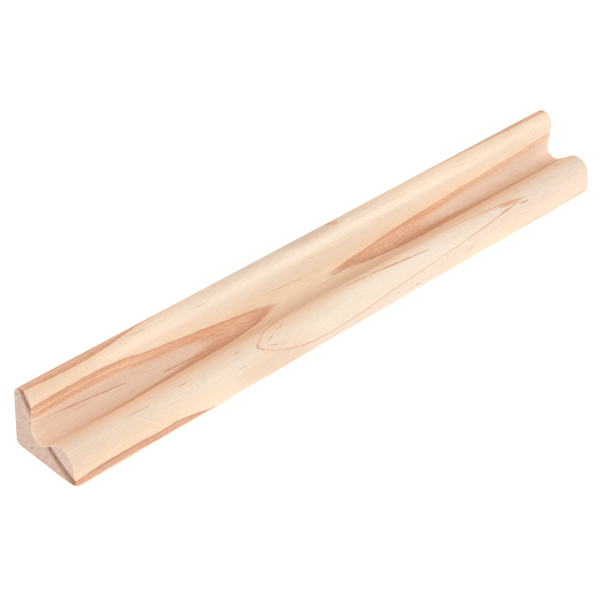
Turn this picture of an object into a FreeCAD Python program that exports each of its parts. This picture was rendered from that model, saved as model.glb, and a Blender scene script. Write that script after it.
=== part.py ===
# Letter-tile rack: one moulded stick of softwood that stands on a flat base.
# A rounded board stands along its back, a round-bottomed groove in front of the board holds
# a row of tiles, and a low rounded lip in front of the groove keeps them from sliding out.
# Both ends are sawn square.
#
# Frame: X along the length, Y towards the back, Z up. The origin is the middle of the base.
# Millimetres and degrees.

import FreeCAD, Part
import math
import os
import Sketcher

NODE = "tile_rack"

# Driving dimensions: alias, value, meaning.
DIMENSIONS = [
    ("length", 190.0, "overall length of the stick"),
    ("depth", 22.0, "overall depth, back face to the foot of the front face"),
    ("height", 18.0, "overall height, base to the top of the board"),
    ("board_thickness", 6.3, "thickness of the board, which ends in a full round"),
    ("board_lean", 2.7, "degrees off vertical of the board's tile face, its foot further back"),
    ("groove_radius", 2.95, "radius of the groove's round bottom"),
    ("groove_floor", 4.9, "height of the groove's lowest line above the base"),
    ("lip_inset", 5.25, "front foot to the line of the lip's crest"),
    ("lip_radius", 4.2, "radius of the lip's crest"),
    ("lip_height", 9.0, "height of the lip's crest above the base"),
    ("front_corner_radius", 0.8, "rounding between the front face and the base"),
    ("back_corner_radius", 1.7, "rounding between the back face and the base"),
    ("end_edge_radius", 0.2, "easing of the edges round both end faces"),
]

START = 1
END = 2
CENTRE = 3
X_AXIS = -1
ORIGIN = (-1, 1)

# Degrees. The solver starts from these and finds the true angles from the tangencies.
FRONT_LEAN_GUESS = 13.0
RAMP_SLOPE_GUESS = 37.0


def make_sheet(doc):
    """Put the driving dimensions in a spreadsheet, one aliased cell each."""
    sheet = doc.addObject("Spreadsheet::Sheet", "dims")
    for row, (alias, value, meaning) in enumerate(DIMENSIONS, start=1):
        sheet.set(f"A{row}", meaning)
        sheet.set(f"B{row}", str(value))
        sheet.setAlias(f"B{row}", alias)
    doc.recompute()
    return sheet


def origin_plane(body, role):
    """Return the body's own origin plane that has this role."""
    return next(plane for plane in body.Origin.OriginFeatures if plane.Role == role)


def add_sketch(body, name):
    """Add a sketch on the body's YZ plane: sketch x is the row's Y, sketch y is its Z."""
    sketch = body.newObject("Sketcher::SketchObject", name)
    sketch.AttachmentSupport = [(origin_plane(body, "YZ_Plane"), "")]
    sketch.MapMode = "FlatFace"
    return sketch


def drive(sketch, name, expression, *constraint):
    """Add a named dimension to the sketch and bind it to the sheet."""
    index = sketch.addConstraint(Sketcher.Constraint(*constraint))
    sketch.renameConstraint(index, name)
    sketch.setExpression(f"Constraints.{name}", expression)


def add_arc(sketch, centre, radius, start_degrees, end_degrees):
    """Add an anticlockwise arc to the sketch and return its number."""
    circle = Part.Circle(FreeCAD.Vector(*centre, 0), FreeCAD.Vector(0, 0, 1), radius)
    angles = (math.radians(start_degrees), math.radians(end_degrees))
    return sketch.addGeometry(Part.ArcOfCircle(circle, *angles), False)


def join_with_line(sketch, arc_end, next_arc_end):
    """Add a line between two arc ends, tangent to both arcs, and return its number."""
    from_point = sketch.getPoint(*arc_end)
    to_point = sketch.getPoint(*next_arc_end)
    line = sketch.addGeometry(Part.LineSegment(from_point, to_point), False)
    sketch.addConstraint(Sketcher.Constraint("Tangent", *arc_end, line, START))
    sketch.addConstraint(Sketcher.Constraint("Tangent", line, END, *next_arc_end))
    return line


def draw_section(sketch, sheet):
    """Draw the moulded section: five arcs joined by five tangent lines."""
    half_depth = sheet.depth / 2
    top_radius = sheet.board_thickness / 2

    # Where the solver starts: close to the solution, so that each arc keeps its side.
    top_centre = (half_depth - top_radius, sheet.height - top_radius)
    groove_centre = (
        half_depth - sheet.board_thickness - sheet.groove_radius,
        sheet.groove_floor + sheet.groove_radius,
    )
    lip_centre = (sheet.lip_inset - half_depth, sheet.lip_height - sheet.lip_radius)
    front_corner_centre = (sheet.front_corner_radius - half_depth, sheet.front_corner_radius)
    back_corner_centre = (half_depth - sheet.back_corner_radius, sheet.back_corner_radius)
    front_angle = 180 - FRONT_LEAN_GUESS
    wall_angle = 180 + sheet.board_lean
    ramp_angle = 90 - RAMP_SLOPE_GUESS

    front_corner = add_arc(sketch, front_corner_centre, sheet.front_corner_radius, front_angle, 270)
    back_corner = add_arc(sketch, back_corner_centre, sheet.back_corner_radius, 270, 360)
    top = add_arc(sketch, top_centre, top_radius, 0, wall_angle)
    groove = add_arc(sketch, groove_centre, sheet.groove_radius, 180 + ramp_angle, 180 + wall_angle)
    lip = add_arc(sketch, lip_centre, sheet.lip_radius, ramp_angle, front_angle)

    # Anticlockwise round the section; the groove's arc is the one that is met backwards.
    base = join_with_line(sketch, (front_corner, END), (back_corner, START))
    back = join_with_line(sketch, (back_corner, END), (top, START))
    wall = join_with_line(sketch, (top, END), (groove, END))
    join_with_line(sketch, (groove, START), (lip, START))
    join_with_line(sketch, (lip, END), (front_corner, START))

    sketch.addConstraint(Sketcher.Constraint("Horizontal", base))
    sketch.addConstraint(Sketcher.Constraint("Vertical", back))
    sketch.addConstraint(Sketcher.Constraint("PointOnObject", base, START, X_AXIS))

    drive(sketch, "back_face", "dims.depth / 2",
          "DistanceX", *ORIGIN, back, START, half_depth)
    drive(sketch, "front_foot", "dims.depth / 2 - dims.front_corner_radius",
          "DistanceX", front_corner, CENTRE, *ORIGIN, -front_corner_centre[0])
    drive(sketch, "front_corner", "dims.front_corner_radius",
          "Radius", front_corner, sheet.front_corner_radius)
    drive(sketch, "back_corner", "dims.back_corner_radius",
          "Radius", back_corner, sheet.back_corner_radius)
    drive(sketch, "top_round", "dims.board_thickness / 2",
          "Radius", top, top_radius)
    drive(sketch, "top_centre", "dims.height - dims.board_thickness / 2",
          "DistanceY", *ORIGIN, top, CENTRE, top_centre[1])
    drive(sketch, "tile_face", "(dims.board_lean - 90) * 1 deg",
          "Angle", wall, math.radians(sheet.board_lean - 90))
    drive(sketch, "groove_round", "dims.groove_radius",
          "Radius", groove, sheet.groove_radius)
    drive(sketch, "groove_centre", "dims.groove_floor + dims.groove_radius",
          "DistanceY", *ORIGIN, groove, CENTRE, groove_centre[1])
    drive(sketch, "lip_round", "dims.lip_radius",
          "Radius", lip, sheet.lip_radius)
    drive(sketch, "lip_place", "dims.depth / 2 - dims.lip_inset",
          "DistanceX", lip, CENTRE, *ORIGIN, -lip_centre[0])
    drive(sketch, "lip_centre", "dims.lip_height - dims.lip_radius",
          "DistanceY", *ORIGIN, lip, CENTRE, lip_centre[1])


def end_edges(shape, half_length):
    """Name the edges that lie wholly in one of the two end planes."""
    names = []
    for number, edge in enumerate(shape.Edges, start=1):
        box = edge.BoundBox
        flat = box.XLength < 1e-6
        if flat and abs(abs(box.XMin) - half_length) < 1e-6:
            names.append(f"Edge{number}")
    return names


def make_rack(doc, sheet):
    """Mould the stick to its section, saw it to length and ease the edges of its ends."""
    body = doc.addObject("PartDesign::Body", NODE)
    body.Label = NODE
    body.Placement = FreeCAD.Placement()

    section = add_sketch(body, "section")
    draw_section(section, sheet)
    stick = body.newObject("PartDesign::Pad", "stick")
    stick.Profile = section
    stick.Midplane = True
    stick.setExpression("Length", "dims.length")
    doc.recompute()

    eased = body.newObject("PartDesign::Fillet", "eased_ends")
    eased.Base = (stick, end_edges(stick.Shape, sheet.length / 2))
    eased.setExpression("Radius", "dims.end_edge_radius")
    body.Tip = eased
    doc.recompute()
    return body


def check_document(doc, bodies):
    """Stop if any object failed, a sketch is free to move, or a sub-part isn't one valid solid."""
    for item in doc.Objects:
        if "Invalid" in item.State or "Error" in item.State:
            raise RuntimeError(f"{item.Name} failed: {item.State}")
        if item.isDerivedFrom("Sketcher::SketchObject") and not item.FullyConstrained:
            raise RuntimeError(f"{item.Name} isn't fully constrained")
    for body in bodies:
        shape = body.Shape
        if shape.isNull() or not shape.isValid() or len(shape.Solids) != 1:
            raise RuntimeError(f"{body.Label} isn't one valid solid")


def main():
    doc = FreeCAD.newDocument("letter_tile_rack")
    sheet = make_sheet(doc)
    bodies = [make_rack(doc, sheet)]
    doc.recompute()
    check_document(doc, bodies)

    os.makedirs("parts", exist_ok=True)
    for body in bodies:
        body.Shape.exportStep(f"parts/{body.Label}.step")
        box = body.Shape.optimalBoundingBox()
        print(f"{body.Label}: {box.XLength:.2f} x {box.YLength:.2f} x {box.ZLength:.2f} mm,"
              f" {body.Shape.Volume / 1000:.2f} cm3")


main()
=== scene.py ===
import math

import bmesh
import bpy
from mathutils import Matrix, Vector, noise


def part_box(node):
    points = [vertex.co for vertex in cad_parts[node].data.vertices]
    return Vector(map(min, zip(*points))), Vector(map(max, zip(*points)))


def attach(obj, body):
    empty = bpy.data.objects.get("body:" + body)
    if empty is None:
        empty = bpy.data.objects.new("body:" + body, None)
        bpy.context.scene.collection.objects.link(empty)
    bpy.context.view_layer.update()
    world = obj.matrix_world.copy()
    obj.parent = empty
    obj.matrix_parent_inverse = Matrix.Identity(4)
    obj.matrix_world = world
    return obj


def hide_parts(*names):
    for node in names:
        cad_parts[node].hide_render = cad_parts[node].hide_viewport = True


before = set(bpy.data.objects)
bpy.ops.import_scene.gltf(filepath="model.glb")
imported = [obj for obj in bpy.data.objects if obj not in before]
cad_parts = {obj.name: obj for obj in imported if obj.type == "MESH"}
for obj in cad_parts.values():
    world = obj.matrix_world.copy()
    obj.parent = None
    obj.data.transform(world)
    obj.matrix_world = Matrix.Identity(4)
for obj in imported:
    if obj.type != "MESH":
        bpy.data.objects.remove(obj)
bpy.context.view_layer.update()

# A letter-tile rack: one moulded stick of knot-free pine. The stick is drawn as a section swept
# along X, with eased end edges that are worn a little unevenly. Its colour is worked out in three
# dimensions, from growth rings that lie round a pith outside the stick, so the streaks on the
# long faces meet the rings on the sawn ends.
#
# Sizes are in millimetres and turned into Blender's metres by MM. The section is drawn in
# (y, z): the back is at +y, the front at -y and the base at z = 0.

MM = 0.001
NODE = "tile_rack"

LOW_CORNER, HIGH_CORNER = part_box(NODE)
LENGTH = (HIGH_CORNER.x - LOW_CORNER.x) / MM
DEPTH = (HIGH_CORNER.y - LOW_CORNER.y) / MM
HEIGHT = (HIGH_CORNER.z - LOW_CORNER.z) / MM
HALF_LENGTH = LENGTH / 2
HALF_DEPTH = DEPTH / 2

# The section, as the CAD model has it.
BOARD_THICKNESS = 6.3
BOARD_LEAN = math.radians(2.7)
GROOVE_RADIUS = 2.95
GROOVE_FLOOR = 4.9
LIP_INSET = 5.25
LIP_RADIUS = 4.2
LIP_HEIGHT = 9.0
FRONT_CORNER_RADIUS = 0.8
BACK_CORNER_RADIUS = 1.7
END_EDGE_RADIUS = 0.2

# How finely the stick is drawn.
ARC_STEP = math.radians(5)
LINE_STEP = 0.9
LENGTH_STEP = 1.5
END_EDGE_STEPS = 3

# Sanding leaves gentle waves: their depth, and waves per mm along and across the stick.
SANDING_DEPTH = 0.03
SANDING_WAVES = (0.05, 0.15)

# The end edges are worn unevenly: how much more than their easing, and how fast it changes per
# mm round the section. The front foot is worn most: by how much, and how far up it reaches.
EDGE_UNEVENNESS = 1.2
EDGE_WAVES = 0.9
FOOT_WEAR = 0.9
FOOT_WEAR_REACH = 3.0

# The growth rings. The pith is a line along X outside the stick, up and to the front of it, given
# as (y, z). Each list gives a ring's distance from the pith or its thickness at places along X,
# or how much the dark ring thickens in its lower branch, at the board's back and at the foot.
PITH = (HALF_DEPTH - 42.3, 41.5)
DARK_RING_RADIUS = [
    (-95, 45.2), (-80, 44.7), (-70, 45.0), (-60, 46.25), (-50, 47.3), (-40, 48.35), (-30, 49.5),
    (-17, 50.35), (-6, 50.8), (5, 50.35), (20, 49.9), (30, 49.2), (50, 48.2), (70, 47.5), (95, 46.3),
]
DARK_RING_THICKNESS = [(-95, 2.3), (-80, 2.9), (-50, 2.4), (0, 1.9), (60, 1.8), (95, 1.5)]
THIN_RING_RADIUS = [
    (-95, 39.2), (-50, 39.8), (-35, 40.5), (-30, 41.6), (-25, 42.8), (-20, 43.7), (-14, 44.15),
    (0, 43.9), (10, 43.2), (20, 42.6), (35, 41.8), (50, 41.05), (68, 40.43), (95, 39.8),
]
LOWER_THICKENING = [
    (-95, 0.1), (-70, 0.1), (-60, 0.3), (-50, 0.4), (-30, 0.45), (-17, 0.1), (5, 0.1), (20, 0.4),
    (40, 0.8), (70, 0.95), (95, 0.75),
]
BACK_THICKENING = [(-95, 0.0), (-20, 0.0), (20, 0.9), (60, 1.6), (80, 1.4), (95, 0.95)]
FOOT_THICKENING = [
    (-95, 0.75), (-72, 0.75), (-66, 1.15), (-60, 1.75), (-54, 1.55), (-48, 1.45), (-38, 0.6),
    (-10, 0.4), (30, 0.7), (50, 1.7), (60, 2.05), (70, 1.9), (80, 1.45), (95, 0.9),
]
# The thin ring's half width on the lip's front and on the side of the groove.
THIN_RING_HALF_WIDTHS = (0.16, 0.45)
# The range that each kind of list stays in.
RADIUS_RANGE = (38.0, 52.0)
THICKNESS_RANGE = (0.0, 4.0)
THICKENING_RANGE = (0.0, 3.0)

# The camera: where it aims, how far off it stands, its angles in degrees, and its lens and
# sensor in mm. It sees nothing nearer than CLIP_START, in metres.
CAMERA_AIM = (-1.68, 9.44, -3.11)
CAMERA_DISTANCE = 509.6
CAMERA_AZIMUTH = -46.92
CAMERA_ELEVATION = 36.35
CAMERA_ROLL = 3.18
CAMERA_LENS = 115.55
SENSOR_WIDTH = 36.0
CLIP_START = 0.01

# The lights: their side and distance in mm, then each one's azimuth and elevation in degrees,
# its power in watts and its colour.
LIGHT_SIZE = 900
LIGHT_DISTANCE = 1800
LEFT_LIGHT = (-90, 15, 21.5, (0.95, 0.98, 0.95))
RIGHT_LIGHT = (45, 15, 15.5, (0.80, 0.96, 1.0))
ROOM_COLOUR = (1.0, 0.92, 0.82)
ROOM_BRIGHTNESS = 0.90

# The floor: half its side in metres, its surface, and its glow, which is that of a lit table.
FLOOR_HALF_SIZE = 1.5
FLOOR_GREY = (0.9, 0.9, 0.9, 1.0)
FLOOR_ROUGHNESS = 0.9
FLOOR_GLOW_COLOUR = (1.0, 1.0, 1.0, 1.0)
FLOOR_GLOW = 0.32


def srgb(red, green, blue):
    """Turn 0-255 display values into a linear colour."""
    def linear(value):
        share = value / 255
        return share / 12.92 if share <= 0.04045 else ((share + 0.055) / 1.055) ** 2.4
    return (linear(red), linear(green), linear(blue), 1.0)


# ---------------------------------------------------------------- the section

def arc(centre, radius, start, end):
    """Points on an arc, both ends included, in even steps of ARC_STEP at the most."""
    steps = max(2, math.ceil(abs(end - start) / ARC_STEP))
    angles = [start + (end - start) * step / steps for step in range(steps + 1)]
    return [(centre[0] + radius * math.cos(a), centre[1] + radius * math.sin(a)) for a in angles]


def with_lines_divided(outline):
    """Divide each long side of a closed outline into even steps of LINE_STEP at the most."""
    divided = []
    for index, point in enumerate(outline):
        following = outline[(index + 1) % len(outline)]
        steps = max(1, math.ceil(math.dist(point, following) / LINE_STEP))
        for step in range(steps):
            share = step / steps
            divided.append((point[0] + (following[0] - point[0]) * share,
                            point[1] + (following[1] - point[1]) * share))
    return divided


def section_outline():
    """The moulded section: five arcs, each joined to the next by a line tangent to both.

    It runs anticlockwise from the back end of the base.
    """
    top_radius = BOARD_THICKNESS / 2
    top = (HALF_DEPTH - top_radius, HEIGHT - top_radius)
    groove_height = GROOVE_FLOOR + GROOVE_RADIUS
    wall_top = (top[0] - top_radius * math.cos(BOARD_LEAN),
                top[1] - top_radius * math.sin(BOARD_LEAN))
    wall_foot_height = groove_height + GROOVE_RADIUS * math.sin(BOARD_LEAN)
    wall_foot = wall_top[0] + (wall_top[1] - wall_foot_height) * math.tan(BOARD_LEAN)
    groove = (wall_foot - GROOVE_RADIUS * math.cos(BOARD_LEAN), groove_height)
    lip = (LIP_INSET - HALF_DEPTH, LIP_HEIGHT - LIP_RADIUS)
    front = (FRONT_CORNER_RADIUS - HALF_DEPTH, FRONT_CORNER_RADIUS)
    back = (HALF_DEPTH - BACK_CORNER_RADIUS, BACK_CORNER_RADIUS)

    # The ramp touches the groove's arc from above and the lip's arc from below.
    centres = math.atan2(lip[1] - groove[1], groove[0] - lip[0])
    ramp_slope = centres + math.asin((GROOVE_RADIUS + LIP_RADIUS) / math.dist(groove, lip))
    # The front face touches the lip's arc and the front corner's on the same side.
    centres = math.atan2(front[1] - lip[1], lip[0] - front[0])
    front_lean = centres + math.acos((LIP_RADIUS - FRONT_CORNER_RADIUS) / math.dist(lip, front))

    outline = arc(back, BACK_CORNER_RADIUS, -math.pi / 2, 0)
    outline += arc(top, top_radius, 0, math.pi + BOARD_LEAN)
    outline += arc(groove, GROOVE_RADIUS, BOARD_LEAN, -math.pi / 2 - ramp_slope)
    outline += arc(lip, LIP_RADIUS, math.pi / 2 - ramp_slope, math.pi - front_lean)
    outline += arc(front, FRONT_CORNER_RADIUS, math.pi - front_lean, 1.5 * math.pi)
    return with_lines_divided(outline)


def on_surface(outline, x, girth):
    """The place on the stick at x, found by walking this far round the section.

    The walk starts at the back end of the base and goes up the back face, over the board,
    through the groove and over the lip.
    """
    left = girth
    for point, following in zip(outline, outline[1:]):
        step = math.dist(point, following)
        if left <= step:
            share = left / step
            return (x, point[0] + (following[0] - point[0]) * share,
                    point[1] + (following[1] - point[1]) * share)
        left -= step
    raise ValueError(f"The section isn't {girth} mm round")


# ---------------------------------------------------------------- the stick

def inward_normals(outline):
    """The unit inward normal at each point of an anticlockwise outline."""
    normals = []
    for index in range(len(outline)):
        before = outline[index - 1]
        after = outline[(index + 1) % len(outline)]
        along = Vector((after[0] - before[0], after[1] - before[1])).normalized()
        normals.append(Vector((-along.y, along.x)))
    return normals


def stations():
    """Places along X: close together over the eased ends, then at even steps.

    Each comes with the share of the end's easing that is taken off the section there.
    """
    eased = []
    for step in range(END_EDGE_STEPS + 1):
        angle = math.pi / 2 * step / END_EDGE_STEPS
        eased.append((1 - math.cos(angle), 1 - math.sin(angle)))
    near_end = [(-HALF_LENGTH, along, inset) for along, inset in eased]
    count = round(LENGTH / LENGTH_STEP)
    middle = [(LENGTH * (step / count - 0.5), 0.0, 0.0) for step in range(1, count)]
    far_end = [(HALF_LENGTH, -along, inset) for along, inset in reversed(eased)]
    return near_end + middle + far_end


def end_wear(x, y, z):
    """How far the edge of an end is worn back at a place: uneven, and most at the front foot."""
    unevenness = abs(noise.noise(Vector((x, y * EDGE_WAVES, z * EDGE_WAVES))))
    from_foot = math.dist((y, z), (-HALF_DEPTH, 0))
    at_foot = FOOT_WEAR * max(0.0, 1 - from_foot / FOOT_WEAR_REACH)
    return END_EDGE_RADIUS * (1 + EDGE_UNEVENNESS * unevenness) + at_foot


def waviness(x, y, z):
    """How far sanding has taken the surface in at a place."""
    along, across = SANDING_WAVES
    wave = noise.noise(Vector((x * along, y * across, z * across)))
    return SANDING_DEPTH * (0.5 + 0.5 * wave)


def make_stick(outline):
    """Sweep the section along X and close both ends."""
    normals = inward_normals(outline)
    mesh = bmesh.new()
    rings = []
    for x, along, inset in stations():
        ring = []
        for (y, z), normal in zip(outline, normals):
            wear = end_wear(x, y, z)
            taken = wear * inset + waviness(x, y, z)
            place = (x + wear * along, y + normal.x * taken, max(0.0, z + normal.y * taken))
            ring.append(mesh.verts.new(Vector(place) * MM))
        rings.append(ring)
    for ring, following in zip(rings, rings[1:]):
        for index in range(len(ring)):
            after = (index + 1) % len(ring)
            side = mesh.faces.new((ring[index], ring[after], following[after], following[index]))
            side.smooth = True
    mesh.faces.new(list(reversed(rings[0])))
    mesh.faces.new(rings[-1])
    bmesh.ops.recalc_face_normals(mesh, faces=mesh.faces)
    data = bpy.data.meshes.new("rack_wood")
    mesh.to_mesh(data)
    mesh.free()
    stick = bpy.data.objects.new("rack_wood", data)
    bpy.context.scene.collection.objects.link(stick)
    return stick


# ---------------------------------------------------------------- node trees

# A stroke is solid to this share of its half width, and a pointed one keeps this much at its tips.
SOLID_SHARE = 0.4
BLUNTEST_TIP = 0.2


class Graph:
    """Adds nodes to a tree with short calls; each call returns the new node's output."""

    def __init__(self, tree):
        self.tree = tree

    def node(self, kind, **settings):
        node = self.tree.nodes.new(kind)
        for name, value in settings.items():
            setattr(node, name, value)
        return node

    def feed(self, socket, value):
        """Link an output to a socket, or set the socket to a plain value."""
        if isinstance(value, bpy.types.NodeSocket):
            self.tree.links.new(value, socket)
        else:
            socket.default_value = value

    def math(self, operation, *values, clamp=False):
        node = self.node("ShaderNodeMath", operation=operation, use_clamp=clamp)
        for socket, value in zip(node.inputs, values):
            self.feed(socket, value)
        return node.outputs[0]

    def add(self, *values):
        total = values[0]
        for value in values[1:]:
            total = self.math("ADD", total, value)
        return total

    def multiply(self, *values):
        product = values[0]
        for value in values[1:]:
            product = self.math("MULTIPLY", product, value)
        return product

    def rest(self, share):
        """What a share leaves of one."""
        return self.math("SUBTRACT", 1.0, share)

    def centred(self, noise, reach):
        """Take a noise of nought to one to run this far in all, half of it below nought."""
        return self.multiply(self.math("SUBTRACT", noise, 0.5), reach)

    def ramp(self, value, low, high, to_low=0.0, to_high=1.0):
        """Take low..high smoothly to to_low..to_high, and hold the ends."""
        node = self.node("ShaderNodeMapRange", interpolation_type="SMOOTHSTEP")
        for socket, item in zip(node.inputs, (value, low, high, to_low, to_high)):
            self.feed(socket, item)
        return node.outputs[0]

    def ramp_degrees(self, angle, low, high, to_low=0.0, to_high=1.0):
        """As ramp, for an angle whose low and high are given in degrees."""
        return self.ramp(angle, math.radians(low), math.radians(high), to_low, to_high)

    def curve(self, value, points, low, high):
        """A smooth curve through points along the length, whose heights lie in low..high."""
        share = self.math("DIVIDE", self.math("ADD", value, HALF_LENGTH), LENGTH)
        node = self.node("ShaderNodeFloatCurve")
        self.feed(node.inputs["Value"], share)
        line = node.mapping.curves[0]
        places = [((x + HALF_LENGTH) / LENGTH, (height - low) / (high - low)) for x, height in points]
        line.points[0].location = places[0]
        line.points[1].location = places[-1]
        for place in places[1:-1]:
            line.points.new(*place)
        node.mapping.update()
        return self.add(self.multiply(node.outputs[0], high - low), low)

    def noise(self, vector, scale=1.0, detail=2.0, roughness=0.5):
        node = self.node("ShaderNodeTexNoise")
        self.feed(node.inputs["Vector"], vector)
        self.feed(node.inputs["Scale"], scale)
        self.feed(node.inputs["Detail"], detail)
        self.feed(node.inputs["Roughness"], roughness)
        return node.outputs["Fac"]

    def vector(self, x, y, z):
        node = self.node("ShaderNodeCombineXYZ")
        for socket, value in zip(node.inputs, (x, y, z)):
            self.feed(socket, value)
        return node.outputs[0]

    def split(self, vector):
        """The vector's X, Y and Z."""
        node = self.node("ShaderNodeSeparateXYZ")
        self.feed(node.inputs[0], vector)
        return node.outputs

    def mix(self, factor, first, second, blend="MIX"):
        """Blend two colours. Sockets go by number: the node has several of each name."""
        node = self.node("ShaderNodeMix", data_type="RGBA", blend_type=blend)
        self.feed(node.inputs[0], factor)
        self.feed(node.inputs[6], first)
        self.feed(node.inputs[7], second)
        return node.outputs[2]

    def shade(self, colour, level):
        """Multiply a colour by a grey level."""
        grey = self.node("ShaderNodeCombineColor")
        for socket in grey.inputs[:3]:
            self.feed(socket, level)
        return self.mix(1.0, colour, grey.outputs[0], blend="MULTIPLY")

    def vector_math(self, operation, *values, result=0):
        node = self.node("ShaderNodeVectorMath", operation=operation)
        for socket, value in zip(node.inputs, values):
            self.feed(socket, value)
        return node.outputs[result]

    def scaled(self, vector, factor):
        node = self.node("ShaderNodeVectorMath", operation="SCALE")
        self.feed(node.inputs[0], vector)
        self.feed(node.inputs["Scale"], factor)
        return node.outputs[0]

    def distance(self, place, centre, reach):
        """How far a place is from a centre, as a share of the reach along each axis."""
        offset = self.vector_math("DIVIDE", self.vector_math("SUBTRACT", place, centre), reach)
        return self.vector_math("LENGTH", offset, result=1)

    def stroke(self, place, start, end, width, pointed=False):
        """One along the line from start to end, and nothing past its half width."""
        line = Vector(end) - Vector(start)
        from_start = self.vector_math("SUBTRACT", place, start)
        dot = self.vector_math("DOT_PRODUCT", from_start, tuple(line), result=1)
        share = self.math("DIVIDE", dot, line.length_squared, clamp=True)
        nearest = self.scaled(tuple(line), share)
        away = self.vector_math("SUBTRACT", from_start, nearest)
        distance = self.vector_math("LENGTH", away, result=1)
        if pointed:
            bulge = self.math("SQRT", self.multiply(4.0, share, self.rest(share)))
            distance = self.math("DIVIDE", distance, self.math("MAXIMUM", bulge, BLUNTEST_TIP))
        return self.ramp(distance, SOLID_SHARE * width, width, 1.0, 0.0)


# ---------------------------------------------------------------- the wood: colours and marks

CREAM = srgb(214, 197, 184)
PALE_CREAM = srgb(214, 199, 186)
PEACH = srgb(228, 207, 188)
PINK_BEIGE = srgb(225, 201, 185)
LATEWOOD = srgb(234, 188, 157)
THIN_LATEWOOD = srgb(208, 148, 108)
DEEP_LATEWOOD = srgb(190, 130, 98)
RESIN = srgb(184, 114, 82)
AMBER = srgb(228, 168, 104)
BARK = srgb(205, 145, 112)
END_GRAIN = srgb(159, 134, 124)
END_GRAIN_PALE = srgb(177, 157, 147)
END_LATEWOOD = srgb(112, 76, 62)
END_FRINGE = srgb(158, 114, 86)
WORN_EDGE_AND_CATCH_LIGHT = srgb(218, 182, 146)

# Tints that a colour is multiplied by: two that drift over the long faces, one for the end at -X,
# one for the end grain inside the dark ring and one of painted shade for the ring's lower branch,
# where it lies in the groove's bottom.
WARM_TINT = (1.0, 0.975, 0.945, 1.0)
COOL_TINT = (1.0, 0.99, 0.98, 1.0)
END_TINT = (0.98, 0.95, 0.93, 1.0)
INNER_TINT = (1.05, 1.08, 1.12, 1.0)
LOWER_BRANCH_SHADE = (0.83, 0.83, 0.84, 1.0)

# Resin canals and other thin lines: where each starts and ends, as a place along X and a
# distance round the section, then its half width, its strength and its colour.
CANALS = [
    ((-95, 31.0), (-82, 32.4), 0.24, 0.35, RESIN),
    ((-86, 32.0), (-74, 33.3), 0.28, 0.75, RESIN),
    ((-78, 32.9), (-66, 34.2), 0.28, 0.75, RESIN),
    ((-56, 36.4), (-42, 37.0), 0.28, 0.7, RESIN),
    ((-21, 30.5), (-4, 32.2), 0.22, 0.55, RESIN),
    ((-10, 26.3), (9, 27.3), 0.18, 0.4, RESIN),
    ((18, 22.6), (36, 22.9), 0.18, 0.8, AMBER),
    ((36, 22.9), (64, 23.7), 0.14, 0.6, AMBER),
    ((-1, 46.0), (18, 47.4), 0.24, 0.7, RESIN),
    ((10, 46.9), (29, 48.8), 0.27, 0.8, RESIN),
    ((-77, 47.7), (-69, 48.2), 0.20, 0.5, RESIN),
    ((-60, 47.6), (-57, 47.7), 0.22, 0.7, RESIN),
    ((-42, 47.5), (-39, 47.3), 0.22, 0.7, RESIN),
    ((58, 48.6), (68, 49.0), 0.30, 0.5, RESIN),
    ((65, 50.2), (69, 50.4), 0.25, 0.9, RESIN),
    ((57, 50.0), (61, 49.9), 0.35, 0.5, RESIN),
    ((-31, 48.8), (-23, 46.1), 0.28, 0.9, THIN_LATEWOOD),
    ((-32, 49.6), (-26, 51.8), 0.28, 0.8, THIN_LATEWOOD),
    ((83, 54.3), (90, 54.6), 0.15, 0.6, AMBER),
    ((64, 53.5), (72, 53.7), 0.18, 0.4, AMBER),
    ((41, 54.6), (45, 54.5), 0.25, 0.4, RESIN),
    ((30, 54.7), (33, 54.7), 0.22, 0.5, RESIN),
    ((26, 55.7), (28, 55.6), 0.25, 0.5, RESIN),
    ((21, 56.1), (23, 56.0), 0.25, 0.5, RESIN),
    ((14, 55.4), (15, 55.4), 0.30, 0.5, RESIN),
]

# A small brown bark fleck on the crest of the board: its two ends, half width and strength.
BARK_FLECK = ((6.3, 19.4), (8.3, 20.7), 1.3, 0.45)

# Soft patches of another tint, each a centre, its reach along each axis and the tint: painted warm
# shade in the hollow and on the lip's top, painted light on the middle of the board's face, both
# ends, painted shade on the ring's lower branch in the groove's bottom towards +X, and blushes.
TINTS_AND_PAINTED_LIGHT = [
    ((0, -2, 7), (1000, 6.5, 5.5), (1.02, 0.96, 0.92, 1.0)),
    ((0, -4, 8), (110, 5, 4.5), (1.06, 0.99, 0.93, 1.0)),
    ((15, 5, 12), (95, 3.5, 9), (1.08, 1.09, 1.07, 1.0)),
    ((-95, -10, 3), (55, 4, 8), (0.92, 0.87, 0.82, 1.0)),
    ((-95, 5, 15), (32, 3, 6), (0.94, 0.89, 0.86, 1.0)),
    ((15, -7.5, 8.8), (34, 2.8, 3), (1.04, 1.08, 1.12, 1.0)),
    ((68, 1, 5.3), (45, 3, 2.5), (0.95, 0.89, 0.86, 1.0)),
    ((-95, 8, 18), (50, 5, 4), (0.93, 0.89, 0.86, 1.0)),
    ((95, -10, 4), (60, 5, 8), (0.94, 0.91, 0.92, 1.0)),
    ((95, 7, 16), (50, 5, 6), (0.95, 0.96, 0.96, 1.0)),
    ((-30, -10.5, 3.5), (16, 5, 6), (0.96, 0.89, 0.85, 1.0)),
    ((0, 9, 18), (14, 4, 3), (0.94, 0.88, 0.86, 1.0)),
]

# Pin holes, a scratch and a nick, drawn on the end face at -X as painted shade, since the mesh has
# no hollows for them: each runs between two places in the section and has a half width.
END_HOLLOW_SHADES = [
    ((9.6, 15.9), (9.5, 15.7), 0.3),
    ((9.0, 14.8), (8.9, 14.7), 0.25),
    ((5.1, 1.9), (4.8, 2.4), 0.3),
    ((5.3, 9.3), (4.9, 9.8), 0.3),
]


# ---------------------------------------------------------------- the wood: grain and rings

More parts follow.
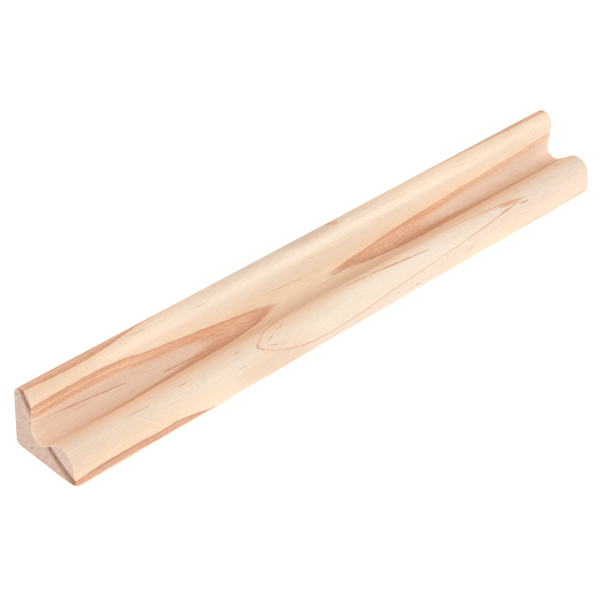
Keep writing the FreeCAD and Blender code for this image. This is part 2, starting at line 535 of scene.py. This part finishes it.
# Noises that follow the grain: waves per mm along it, waves per mm across it, and detail.
FIBRE = (0.22, 4.5, 3.0)
FLECK = (0.8, 6.0, 3.0)
STRAND = (0.06, 1.6, 2.0)
STREAK = (0.05, 5.0, 3.0)
CLOUD = (0.03, 0.3, 2.0)
SPECKLE = (1.2, 2.6, 3.0)

# The parts of a noise's range over which it takes something from none to full.
MIDDLE = (0.35, 0.65)
WIDE_MIDDLE = (0.3, 0.7)

# How far, in all, each noise frays the edge of a ring.
FLECK_FRAY = 0.2
STREAK_FRAY = 0.45
STRAND_FRAY = 0.25

# The thin ring takes a share of the fray that grows between two places along X. Between two
# places in Y it bends clear of the board.
THIN_FRAY_PLACES = (45, 60)
THIN_FRAY = (0.3, 0.9)
THIN_CLEARANCE_PLACES = (0, 3)

# Directions round the pith, in degrees, between which something goes from none to full. The top
# of the board lies near -30, the groove's bottom near -47, the lip's crest near -52 and the
# front foot near -64.
BACK_TURNS = (-35.5, -33)
LOWER_SHIFT_TURNS = (-45.8, -47.3)
LOWER_BRANCH_SHADE_TURNS = (-46.2, -47.8)
THIN_WIDTH_TURNS = (-51.5, -49.5)
UPPER_BRANCH_TURNS = (-53, -51.5)
FOOT_TURNS = (-50, -62)
SHIFT_END_TURNS = (-52, -56)


class Grain:
    """Where a point of the wood is, in millimetres, and the noises that run along its fibres."""

    def __init__(self, graph):
        self.graph = graph
        coordinates = graph.node("ShaderNodeTexCoord")
        self.place = graph.scaled(coordinates.outputs["Object"], 1 / MM)
        self.x, self.y, self.z = graph.split(self.place)
        self.facing_end = graph.math("ABSOLUTE", graph.split(coordinates.outputs["Normal"])[0])
        self.fibre = self.noise(*FIBRE)
        self.fleck = self.noise(*FLECK)
        self.strand = self.noise(*STRAND)
        self.streak = self.noise(*STREAK)
        self.cloud = self.noise(*CLOUD)

    def stretched(self, along, across):
        """The place, scaled one way along the grain and another across it."""
        return self.graph.vector_math("MULTIPLY", self.place, (along, across, across))

    def noise(self, along, across, detail):
        return self.graph.noise(self.stretched(along, across), detail=detail)


class Rings:
    """The direction and distance of a point from the pith, and how far it is into each ring."""

    def __init__(self, graph, grain):
        across = graph.math("SUBTRACT", grain.y, PITH[0])
        up = graph.math("SUBTRACT", grain.z, PITH[1])
        self.turn = graph.math("ARCTAN2", up, across)
        squares = graph.add(graph.multiply(across, across), graph.multiply(up, up))
        self.radius = graph.math("SQRT", squares)
        fray = graph.add(graph.centred(grain.fleck, FLECK_FRAY),
                         graph.centred(grain.streak, STREAK_FRAY),
                         graph.centred(grain.strand, STRAND_FRAY))

        # The dark ring thickens towards the pith at the foot of the lip, at the back of the board
        # and in its lower branch, which crosses the groove.
        at_foot = graph.multiply(graph.ramp_degrees(self.turn, *FOOT_TURNS),
                                 graph.curve(grain.x, FOOT_THICKENING, *THICKENING_RANGE))
        at_back = graph.multiply(graph.ramp_degrees(self.turn, *BACK_TURNS),
                                 graph.curve(grain.x, BACK_THICKENING, *THICKENING_RANGE))
        below = graph.multiply(graph.ramp_degrees(self.turn, *LOWER_SHIFT_TURNS),
                               graph.ramp_degrees(self.turn, *SHIFT_END_TURNS, 1.0, 0.0),
                               graph.curve(grain.x, LOWER_THICKENING, *THICKENING_RANGE))
        thickened = graph.add(at_foot, at_back, below)
        dark_start = graph.curve(grain.x, DARK_RING_RADIUS, *RADIUS_RANGE)
        dark_thickness = graph.curve(grain.x, DARK_RING_THICKNESS, *THICKNESS_RANGE)
        self.into_dark = graph.add(self.radius, fray, thickened, graph.multiply(dark_start, -1))
        self.dark_share = graph.math("DIVIDE", self.into_dark, graph.add(dark_thickness, thickened))

        thin_start = graph.curve(grain.x, THIN_RING_RADIUS, *RADIUS_RANGE)
        thin_fray = graph.multiply(fray, graph.ramp(grain.x, *THIN_FRAY_PLACES, *THIN_FRAY))
        self.into_thin = graph.add(self.radius, thin_fray, graph.multiply(thin_start, -1),
                                   graph.ramp(grain.y, *THIN_CLEARANCE_PLACES))


# ---------------------------------------------------------------- the wood: the dark ring

# Its edges: in mm towards the pith, and as shares of its thickness away from it.
DARK_NEAR_EDGE = (-0.1, 0.15)
DARK_FAR_EDGE = (0.75, 1.1)

# The pale line that splits it near -X: the line's middle and edges, as shares of the ring's
# thickness, the line's strength, and where along X it ends.
PALE_LINE_MIDDLE = 0.46
PALE_LINE_EDGES = (0.03, 0.10)
PALE_LINE_STRENGTH = 0.7
PALE_LINE_END = (-70, -45)

# The part of it kept pale by painted light, where light comes in at the open end at -X: its
# centre, its reach along each axis, its edges and strength.
OPEN_END_LIGHT_CENTRE = (-97, -2, 6.5)
OPEN_END_LIGHT_REACH = (25, 7, 4)
OPEN_END_LIGHT_EDGES = (0.5, 1.0)
OPEN_END_LIGHT_STRENGTH = 0.8

# It fades a little between two places along X, but not past two places in Y, at the back.
DARK_FADE_PLACES = (30, 75)
DARK_FADE = 0.35
DARK_FADE_ACROSS = (6, 8)

# How strongly the ring and its darker fibres show.
DARK_RING_STRENGTH = 0.85
BUNCHED_STRENGTH = 0.45

# The dark line along its near edge: its width in mm, and its strength on the lower branch and,
# elsewhere, at two places along X.
CRISP_WIDTH = (0.1, 0.55)
CRISP_BELOW = 0.85
CRISP_PLACES = (0, 50)
CRISP_ELSEWHERE = (0.5, 0.12)


def dark_ring_mask(graph, rings):
    """One in the dark ring: sharp towards the pith and soft away from it."""
    return graph.multiply(graph.ramp(rings.into_dark, *DARK_NEAR_EDGE),
                          graph.ramp(rings.dark_share, *DARK_FAR_EDGE, 1.0, 0.0))


def dark_ring_strength(graph, grain, rings):
    """How strongly the dark ring shows from place to place."""
    from_line = graph.math("ABSOLUTE", graph.math("SUBTRACT", rings.dark_share, PALE_LINE_MIDDLE))
    line = graph.multiply(graph.ramp(from_line, *PALE_LINE_EDGES, PALE_LINE_STRENGTH, 0.0),
                          graph.ramp(grain.x, *PALE_LINE_END, 1.0, 0.0))
    # Painted light: the ring is kept pale on the ramp near the open end at -X, where light comes in.
    from_open_end_light = graph.distance(grain.place, OPEN_END_LIGHT_CENTRE, OPEN_END_LIGHT_REACH)
    light_at_open_end = graph.ramp(from_open_end_light, *OPEN_END_LIGHT_EDGES, OPEN_END_LIGHT_STRENGTH, 0.0)
    faded = graph.multiply(graph.ramp(grain.x, *DARK_FADE_PLACES, 0.0, DARK_FADE),
                           graph.ramp(grain.y, *DARK_FADE_ACROSS, 1.0, 0.0))
    return graph.multiply(graph.rest(graph.math("MAXIMUM", line, light_at_open_end)), graph.rest(faded))


def add_dark_ring(graph, grain, rings, dark_ring, colour):
    """Lay the dark ring over a colour: darker where the fibres bunch, along its near edge, and by
    painted shade on its lower branch in the groove.
    """
    bunched = graph.add(graph.multiply(graph.ramp(grain.streak, *MIDDLE), BUNCHED_STRENGTH),
                        graph.multiply(graph.ramp(grain.fleck, *MIDDLE), BUNCHED_STRENGTH))
    latewood = graph.mix(bunched, LATEWOOD, DEEP_LATEWOOD)
    lower = graph.ramp_degrees(rings.turn, *LOWER_BRANCH_SHADE_TURNS)
    # Painted shade: the lower branch, in the groove's bottom, is darkened as if in the lip's shadow.
    latewood = graph.mix(lower, latewood, LOWER_BRANCH_SHADE, blend="MULTIPLY")
    strength = dark_ring_strength(graph, grain, rings)
    colour = graph.mix(graph.multiply(dark_ring, strength, DARK_RING_STRENGTH), colour, latewood)
    crisp = graph.math("MAXIMUM", graph.multiply(lower, CRISP_BELOW),
                       graph.ramp(grain.x, *CRISP_PLACES, *CRISP_ELSEWHERE))
    near_edge = graph.ramp(rings.into_dark, *CRISP_WIDTH, 1.0, 0.0)
    return graph.mix(graph.multiply(dark_ring, strength, near_edge, crisp), colour, DEEP_LATEWOOD)


# ---------------------------------------------------------------- the wood: the thin ring

# It narrows at its tip near -X, and gently towards +X: the places, and the share of its width
# that is left there. Its edge is soft between two shares of its half width.
NEAR_TIP_PLACES = (-36, -24)
NEAR_TIP_WIDTH = 0.4
FAR_TAPER_PLACES = (0, 40)
FAR_TAPER_WIDTH = 0.75
THIN_RING_EDGE = (0.3, 1.0)

# Its upper branch fades over the middle of the lip, between these places.
BRANCH_FADE_START = (10, 25)
BRANCH_FADE_END = (50, 60)
BRANCH_FADE = 0.55

# Past its tip near +X little of it is left.
FAR_TIP_PLACES = (61, 68)
PAST_FAR_TIP = 0.2
THIN_RING_STRENGTH = 0.9


def add_thin_ring(graph, grain, rings, colour):
    """Lay the thin ring, a fine line that loops over the lip, over a colour."""
    taper = graph.multiply(graph.ramp(grain.x, *NEAR_TIP_PLACES, NEAR_TIP_WIDTH, 1.0),
                           graph.ramp(grain.x, *FAR_TAPER_PLACES, 1.0, FAR_TAPER_WIDTH))
    half_width = graph.ramp_degrees(rings.turn, *THIN_WIDTH_TURNS, *THIN_RING_HALF_WIDTHS)
    offset = graph.math("DIVIDE", graph.math("ABSOLUTE", rings.into_thin),
                        graph.multiply(half_width, taper))
    faded = graph.multiply(graph.ramp_degrees(rings.turn, *UPPER_BRANCH_TURNS),
                           graph.ramp(grain.x, *BRANCH_FADE_START),
                           graph.ramp(grain.x, *BRANCH_FADE_END, BRANCH_FADE, 0.0))
    line = graph.multiply(graph.ramp(offset, *THIN_RING_EDGE, 1.0, 0.0), graph.rest(faded),
                          graph.ramp(grain.x, *FAR_TIP_PLACES, 1.0, PAST_FAR_TIP))
    return graph.mix(graph.multiply(line, THIN_RING_STRENGTH), colour, THIN_LATEWOOD)


# ---------------------------------------------------------------- the wood: the long faces

# How gently the earlywood's colours meet: mm either side of the thin ring, mm before the dark
# ring, and shares of the dark ring's thickness past its start.
THIN_BLEND = 0.3
PEACH_REACH = 5.0
PINK_SHARES = (0.7, 1.2)

# Short resin dashes lie in cells: waves per mm along and across the grain, a dash's edges as
# distances from its cell's middle, the cells that have one, and its strength.
DASH_CELLS = (0.05, 1.2)
DASH_EDGES = (0.08, 0.16)
DASH_CHOICE = (0.5, 0.9)
DASH_STRENGTH = 0.45

# How thin lines wander: waves per mm along and across the grain, and how far in all along each
# axis. The flecks break the lines and the bark up, down to BROKEN_STRENGTH.
WANDER = (0.05, 0.2)
WANDER_REACH = (0.0, 0.5, 0.5)
CANAL_BREAKS = (0.35, 0.5)
BARK_BREAKS = (0.3, 0.6)
BROKEN_STRENGTH = 0.5

# The soft light and dark of the fibres.
FIBRE_LEVELS = (0.965, 1.02)
SPECKLE_LEVELS = (-0.03, 0.03)
STRAND_LEVEL = 0.12

# Where along X the end's tint sets in, and where a tint patch begins to fade, as shares of its reach.
END_TINT_PLACES = (-55, -95)
TINT_PATCH_EDGES = (0.45, 1.0)


def earlywood(graph, rings):
    """Pale inside the thin ring, cream between the rings and pinkish past the dark one."""
    colour = graph.mix(graph.ramp(rings.into_thin, -THIN_BLEND, THIN_BLEND), PALE_CREAM, CREAM)
    colour = graph.mix(graph.ramp(rings.into_dark, -PEACH_REACH, 0.0), colour, PEACH)
    return graph.mix(graph.ramp(rings.dark_share, *PINK_SHARES), colour, PINK_BEIGE)


def add_dashes(graph, grain, colour):
    """Add short resin dashes: one in some of the cells of a grid stretched along the grain."""
    cells = graph.node("ShaderNodeTexVoronoi")
    graph.feed(cells.inputs["Vector"], grain.stretched(*DASH_CELLS))
    graph.feed(cells.inputs["Scale"], 1.0)
    chance = graph.node("ShaderNodeSeparateColor")
    graph.feed(chance.inputs[0], cells.outputs["Color"])
    dash = graph.multiply(graph.ramp(cells.outputs["Distance"], *DASH_EDGES, 1.0, 0.0),
                          graph.ramp(chance.outputs[0], *DASH_CHOICE))
    return graph.mix(graph.multiply(dash, DASH_STRENGTH), colour, RESIN)


def add_canals(graph, grain, outline, colour):
    """Add the thin resin lines, which wander a little, and the bark fleck."""
    wander = graph.node("ShaderNodeTexNoise")
    graph.feed(wander.inputs["Vector"], grain.stretched(*WANDER))
    offset = graph.vector_math("SUBTRACT", wander.outputs["Color"], (0.5, 0.5, 0.5))
    offset = graph.vector_math("MULTIPLY", offset, WANDER_REACH)
    wandering = graph.vector_math("ADD", grain.place, offset)
    for start, end, width, strength, resin in CANALS:
        line = graph.stroke(wandering, on_surface(outline, *start), on_surface(outline, *end),
                            width, pointed=True)
        breaks = graph.ramp(grain.fleck, *CANAL_BREAKS, BROKEN_STRENGTH, 1.0)
        colour = graph.mix(graph.multiply(line, breaks, strength), colour, resin)
    start, end, width, strength = BARK_FLECK
    bark = graph.stroke(grain.place, on_surface(outline, *start), on_surface(outline, *end), width)
    breaks = graph.ramp(grain.fleck, *BARK_BREAKS, BROKEN_STRENGTH, 1.0)
    return graph.mix(graph.multiply(bark, strength, breaks), colour, BARK)


def tinted(graph, grain, colour):
    """Tint a colour from place to place and shade it by the fibres."""
    tint = graph.mix(graph.ramp(grain.cloud, *MIDDLE), WARM_TINT, COOL_TINT)
    tint = graph.mix(graph.ramp(grain.x, *END_TINT_PLACES), tint, END_TINT)
    # Some patches are painted light and shade: warm shade in the hollow and on the lip's top, light on
    # the board's face, and shade on the ring's lower branch in the groove.
    for centre, reach, area_tint in TINTS_AND_PAINTED_LIGHT:
        distance = graph.distance(grain.place, centre, reach)
        weight = graph.ramp(distance, *TINT_PATCH_EDGES, 1.0, 0.0)
        tint = graph.mix(weight, tint, area_tint, blend="MULTIPLY")
    level = graph.add(graph.ramp(grain.fibre, *WIDE_MIDDLE, *FIBRE_LEVELS),
                      graph.ramp(grain.noise(*SPECKLE), *WIDE_MIDDLE, *SPECKLE_LEVELS),
                      graph.centred(grain.strand, STRAND_LEVEL))
    return graph.shade(graph.mix(1.0, colour, tint, blend="MULTIPLY"), level)


def long_grain(graph, grain, rings, dark_ring, outline):
    """The colour of the long faces."""
    colour = earlywood(graph, rings)
    colour = add_dark_ring(graph, grain, rings, dark_ring, colour)
    colour = add_thin_ring(graph, grain, rings, colour)
    colour = add_dashes(graph, grain, colour)
    colour = add_canals(graph, grain, outline, colour)
    return tinted(graph, grain, colour)


# ---------------------------------------------------------------- the wood: the sawn ends

# Slats run out from the pith: waves per radian round it, waves per mm away from it, and detail.
SLATS = (100.0, 0.25, 4.0)
PORE_SCALE = 1.6
PORE_DETAIL = 4.0
PORE_ROUGHNESS = 0.7

# The dark ring on an end: its near edge in mm, its far edge and its fringe as shares of its
# thickness, and its strength between the slats and what they add.
END_NEAR_EDGE = (-0.15, 0.1)
END_FAR_EDGE = (0.7, 1.0)
END_FRINGE_SHARES = (0.2, 1.0)
END_RING_STRENGTH = 0.7
END_SLAT_STRENGTH = 0.3

# The strength of the marks' painted shade, the mm over which the tint inside the dark ring sets in,
# and the grey level with what the clouds add to it.
END_HOLLOW_SHADE_STRENGTH = 0.7
INNER_BLEND = 0.6
END_LEVEL = 0.94
END_CLOUD_LEVEL = 0.12


def sawn_texture(graph, grain, rings):
    """The slats and the pores of a sawn end."""
    round_pith, from_pith, detail = SLATS
    spokes = graph.vector(graph.multiply(rings.turn, round_pith),
                          graph.multiply(rings.radius, from_pith), 0.0)
    slats = graph.ramp(graph.noise(spokes, detail=detail), *MIDDLE)
    speckles = graph.noise(grain.place, scale=PORE_SCALE, detail=PORE_DETAIL, roughness=PORE_ROUGHNESS)
    return slats, graph.ramp(speckles, *WIDE_MIDDLE)


def end_grain(graph, grain, rings, slats, pores):
    """The colour of the sawn ends: greyer, with the dark ring across them and a few marks drawn as
    painted shade.
    """
    paleness = graph.add(graph.multiply(slats, 0.5), graph.multiply(pores, 0.5))
    colour = graph.mix(paleness, END_GRAIN, END_GRAIN_PALE)
    ring = graph.multiply(graph.ramp(rings.into_dark, *END_NEAR_EDGE),
                          graph.ramp(rings.dark_share, *END_FAR_EDGE, 1.0, 0.0))
    ring_colour = graph.mix(graph.ramp(rings.dark_share, *END_FRINGE_SHARES), END_LATEWOOD, END_FRINGE)
    strength = graph.add(END_RING_STRENGTH, graph.multiply(slats, END_SLAT_STRENGTH))
    colour = graph.mix(graph.multiply(ring, strength), colour, ring_colour)
    # Painted shade: dark marks where the pin holes, scratch and nick would be hollow.
    for start, end, width in END_HOLLOW_SHADES:
        hollow_shade = graph.stroke(grain.place, (-HALF_LENGTH, *start), (-HALF_LENGTH, *end), width)
        colour = graph.mix(graph.multiply(hollow_shade, END_HOLLOW_SHADE_STRENGTH), colour, END_LATEWOOD)
    inside = graph.ramp(rings.into_dark, -INNER_BLEND, 0.0, 1.0, 0.0)
    colour = graph.mix(inside, colour, INNER_TINT, blend="MULTIPLY")
    return graph.shade(colour, graph.add(END_LEVEL, graph.multiply(grain.cloud, END_CLOUD_LEVEL)))


# ---------------------------------------------------------------- the wood: the whole surface

# How much the normal's X has to be for a face to be an end, and for the worn rim, with its painted
# catch light, to start and stop.
END_FACING = (0.6, 0.9)
RIM_START_FACING = (0.1, 0.4)
RIM_STOP_FACING = (0.85, 0.97)

# The rim is pale worn wood with a painted catch light on the eased edge: its strength, and how it
# leaves out the dark ring and the pores.
RIM_STRENGTH = 0.5
RIM_DARK_RING = (0.0, 0.4)
RIM_PORES = (0.2, 0.7)
RIM_LEFT_ON_PORES = 0.3

# Roughness: the wood's own, and what the fibres, the sawn ends and the dark ring add to it.
WOOD_ROUGHNESS = 0.60
FIBRE_ROUGHNESS = 0.1
END_ROUGHNESS = 0.2
DARK_RING_ROUGHNESS = -0.08

# Relief in mm: of the fibres, of the dark ring and of the sawn ends.
FIBRE_RELIEF = 0.04
DARK_RING_RELIEF = 0.03
SAWN_RELIEF = 0.04


def make_wood(outline):
    """Pine, coloured by its distance from the pith, with fibres along X."""
    material = bpy.data.materials.new("pine")
    material.use_nodes = True
    graph = Graph(material.node_tree)
    grain = Grain(graph)
    rings = Rings(graph, grain)
    dark_ring = dark_ring_mask(graph, rings)
    slats, pores = sawn_texture(graph, grain, rings)

    is_end = graph.ramp(grain.facing_end, *END_FACING)
    colour = graph.mix(is_end, long_grain(graph, grain, rings, dark_ring, outline),
                       end_grain(graph, grain, rings, slats, pores))
    # The eased edge of each end: partly worn pale wood, partly a painted catch light.
    worn_and_catch_light = graph.multiply(graph.ramp(grain.facing_end, *RIM_START_FACING),
                          graph.ramp(grain.facing_end, *RIM_STOP_FACING, RIM_STRENGTH, 0.0),
                          graph.ramp(dark_ring, *RIM_DARK_RING, 1.0, 0.0),
                          graph.ramp(pores, *RIM_PORES, 1.0, RIM_LEFT_ON_PORES))
    roughness = graph.add(WOOD_ROUGHNESS, graph.multiply(grain.fibre, FIBRE_ROUGHNESS),
                          graph.multiply(is_end, END_ROUGHNESS),
                          graph.multiply(dark_ring, DARK_RING_ROUGHNESS))
    relief = graph.add(graph.multiply(grain.fibre, FIBRE_RELIEF),
                       graph.multiply(dark_ring, DARK_RING_RELIEF),
                       graph.multiply(graph.add(slats, pores), is_end, SAWN_RELIEF))
    bump = graph.node("ShaderNodeBump")
    graph.feed(bump.inputs["Distance"], MM)
    graph.feed(bump.inputs["Height"], relief)

    shader = material.node_tree.nodes["Principled BSDF"]
    graph.feed(shader.inputs["Base Color"], graph.mix(worn_and_catch_light, colour, WORN_EDGE_AND_CATCH_LIGHT))
    graph.feed(shader.inputs["Roughness"], roughness)
    graph.feed(shader.inputs["Normal"], bump.outputs[0])
    return material


# ---------------------------------------------------------------- stage, lights and camera

def make_floor():
    """A plain pale floor, far larger than the view."""
    mesh = bmesh.new()
    bmesh.ops.create_grid(mesh, x_segments=1, y_segments=1, size=FLOOR_HALF_SIZE)
    data = bpy.data.meshes.new("floor")
    mesh.to_mesh(data)
    mesh.free()
    floor = bpy.data.objects.new("floor", data)
    floor.location.z = LOW_CORNER.z
    bpy.context.scene.collection.objects.link(floor)
    material = bpy.data.materials.new("floor_white")
    material.use_nodes = True
    shader = material.node_tree.nodes["Principled BSDF"]
    shader.inputs["Base Color"].default_value = FLOOR_GREY
    shader.inputs["Roughness"].default_value = FLOOR_ROUGHNESS
    shader.inputs["Emission Color"].default_value = FLOOR_GLOW_COLOUR
    shader.inputs["Emission Strength"].default_value = FLOOR_GLOW
    data.materials.append(material)


def add_area_light(name, azimuth, elevation, power, colour):
    """A square soft light that faces the stick from a direction, given in degrees."""
    turn = math.radians(azimuth)
    rise = math.radians(elevation)
    outward = Vector((
        math.sin(turn) * math.cos(rise),
        -math.cos(turn) * math.cos(rise),
        math.sin(rise),
    ))
    light = bpy.data.lights.new(name, "AREA")
    light.shape = "SQUARE"
    light.size = LIGHT_SIZE * MM
    light.energy = power
    light.color = colour
    lamp = bpy.data.objects.new(name, light)
    lamp.location = (outward * LIGHT_DISTANCE + Vector((0, 0, HEIGHT / 2))) * MM
    lamp.rotation_euler = outward.to_track_quat("Z", "Y").to_euler()
    bpy.context.scene.collection.objects.link(lamp)


def make_lights():
    """Two low soft lights, one off the end at -X and one off the front right, in a pale room."""
    add_area_light("left", *LEFT_LIGHT)
    add_area_light("right", *RIGHT_LIGHT)
    world = bpy.data.worlds.new("studio")
    world.use_nodes = True
    sky = world.node_tree.nodes["Background"]
    sky.inputs["Color"].default_value = (*ROOM_COLOUR, 1.0)
    sky.inputs["Strength"].default_value = ROOM_BRIGHTNESS
    bpy.context.scene.world = world
    bpy.context.scene.view_settings.view_transform = "Standard"


def make_camera():
    """The camera, turned about its aim by azimuth, elevation and roll."""
    azimuth = math.radians(CAMERA_AZIMUTH)
    elevation = math.radians(CAMERA_ELEVATION)
    back = Vector((
        math.sin(azimuth) * math.cos(elevation),
        -math.cos(azimuth) * math.cos(elevation),
        math.sin(elevation),
    ))
    right = Vector((0, 0, 1)).cross(back).normalized()
    turned = Matrix((right, back.cross(right), back)).transposed().to_4x4()
    roll = Matrix.Rotation(math.radians(CAMERA_ROLL), 4, "Z")
    lens = bpy.data.cameras.new("camera")
    lens.sensor_width = SENSOR_WIDTH
    lens.lens = CAMERA_LENS
    lens.clip_start = CLIP_START
    camera = bpy.data.objects.new("camera", lens)
    place = (Vector(CAMERA_AIM) + back * CAMERA_DISTANCE) * MM
    camera.matrix_world = Matrix.Translation(place) @ turned @ roll
    bpy.context.scene.collection.objects.link(camera)
    bpy.context.scene.camera = camera


def main():
    make_camera()
    make_floor()
    make_lights()
    outline = section_outline()
    stick = make_stick(outline)
    stick.data.materials.append(make_wood(outline))
    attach(stick, "root")
    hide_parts(NODE)


main()
